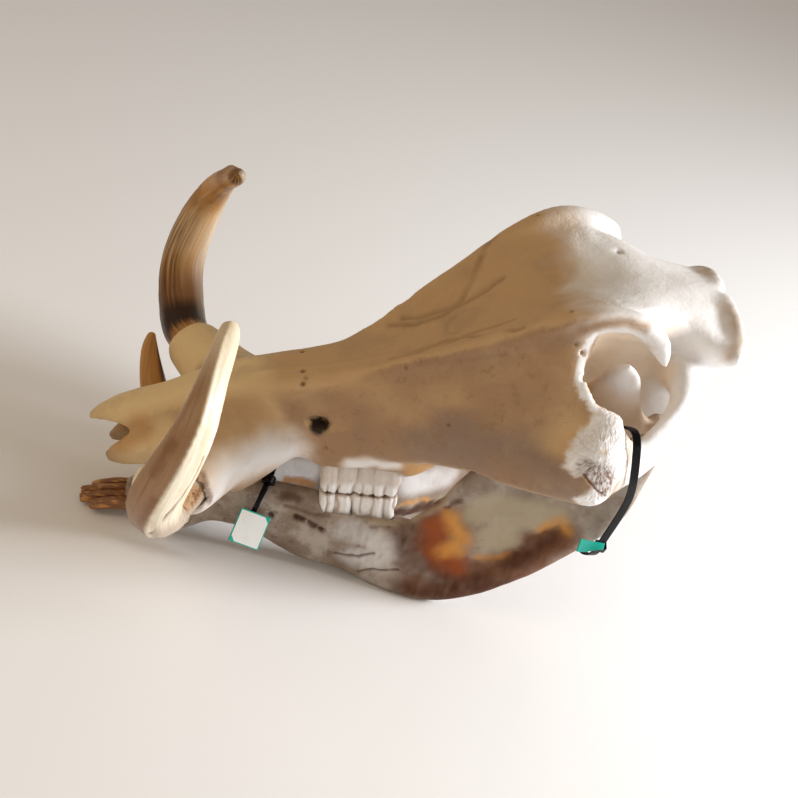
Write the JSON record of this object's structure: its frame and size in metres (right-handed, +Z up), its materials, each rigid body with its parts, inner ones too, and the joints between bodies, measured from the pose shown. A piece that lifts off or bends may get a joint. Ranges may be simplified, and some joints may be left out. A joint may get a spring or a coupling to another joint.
{
  "type": "warthog skull",
  "caption": "Skull of a male warthog with lower jaw, curved tusks and cheek teeth, its jaws held together by cable ties.",
  "frame": {"origin": "middle of the bounding box, on the floor that the skull stands on", "axes": "+X runs from the snout to the back of the head, +Y is the animal's right side, +Z is up"},
  "size_m": [0.3549, 0.312, 0.2289],
  "materials": {
    "bone": "dry weathered bone, cream with tan shade",
    "jaw_bone": "dry bone stained orange and brown",
    "ivory": "semi-gloss tusk ivory with brown streaks",
    "stained_ivory": "amber tusk ivory with a dark brown band",
    "enamel": "off-white enamel, slightly glossy",
    "stained_tooth": "worn front tooth stained brown",
    "tie_black": "black nylon strap",
    "tag_teal": "teal plastic strip",
    "tag_white": "blank white card with a teal edge"
  },
  "bodies": {
    "root": {"cranium": "bone", "mandible": "jaw_bone", "upper_tusk_left": "ivory", "lower_tusk_left": "ivory", "upper_premolar_left": "enamel", "upper_molar_left": "enamel", "upper_last_molar_left": "enamel", "lower_premolar_left": "enamel", "lower_molar_left": "enamel", "lower_last_molar_left": "enamel", "lower_incisor_inner_left": "stained_tooth", "lower_incisor_outer_left": "stained_tooth", "upper_tusk_right": "stained_ivory", "lower_tusk_right": "ivory", "upper_premolar_right": "enamel", "upper_molar_right": "enamel", "upper_last_molar_right": "enamel", "lower_premolar_right": "enamel", "lower_molar_right": "enamel", "lower_last_molar_right": "enamel", "lower_incisor_inner_right": "stained_tooth", "lower_incisor_outer_right": "stained_tooth", "cable_tie_front": "tie_black", "cable_tie_rear": "tie_black", "tag_rear": "tag_teal", "tag_front": "tag_white"}
  },
  "joints": []
}
